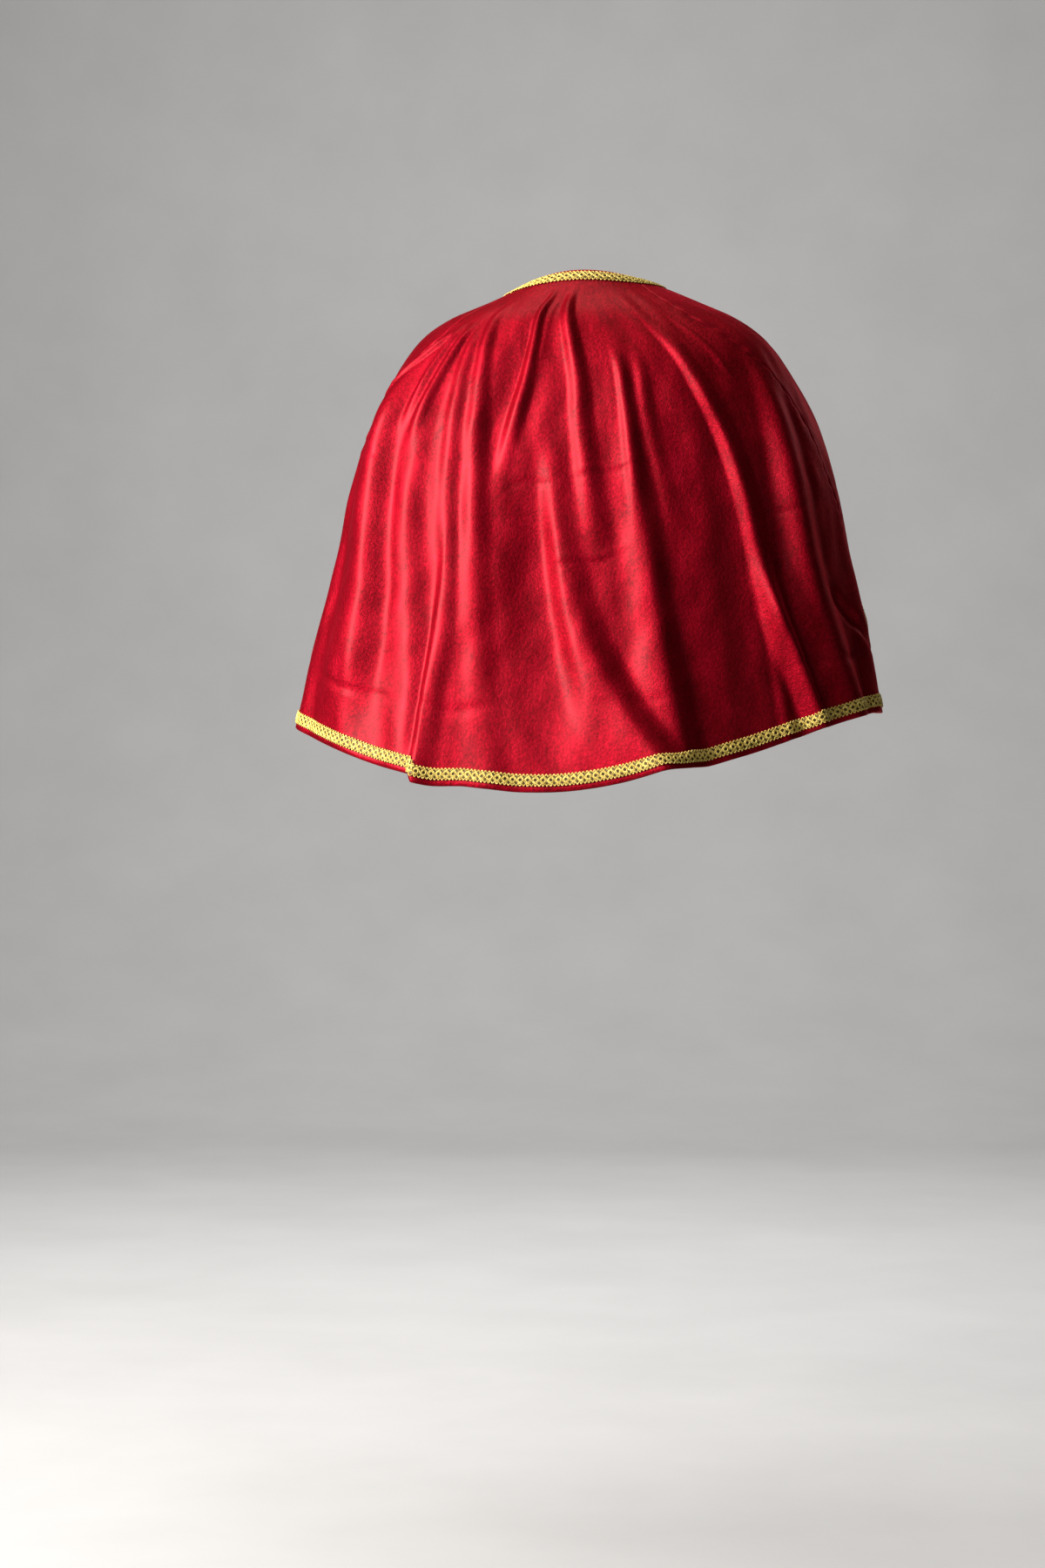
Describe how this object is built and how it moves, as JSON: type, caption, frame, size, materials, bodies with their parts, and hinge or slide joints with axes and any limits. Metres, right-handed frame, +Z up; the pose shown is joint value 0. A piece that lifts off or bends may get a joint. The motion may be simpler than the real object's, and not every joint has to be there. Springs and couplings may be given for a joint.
{
  "type": "altar server cape",
  "caption": "Red velvet shoulder cape edged with gold gimp braid, closed by a hook and eye at the neck, in the hollow shape it takes when worn.",
  "frame": {"origin": "middle of the neck opening, at the height of its two sides", "axes": "+Z up, -Y to the front opening, +X to the left side of the cape"},
  "size_m": [0.7186, 0.4317, 0.6179],
  "materials": {
    "velvet": "crimson velvet with a short pile and a soft sheen",
    "gold_braid": "metallic gold gimp braid",
    "steel": "plated wire"
  },
  "bodies": {
    "root": {"back": "velvet", "front_left": "velvet", "front_right": "velvet", "neck_braid": "gold_braid", "hem_braid": "gold_braid", "front_braid_left": "gold_braid", "front_braid_right": "gold_braid", "hook": "steel", "eye": "steel"}
  },
  "joints": []
}
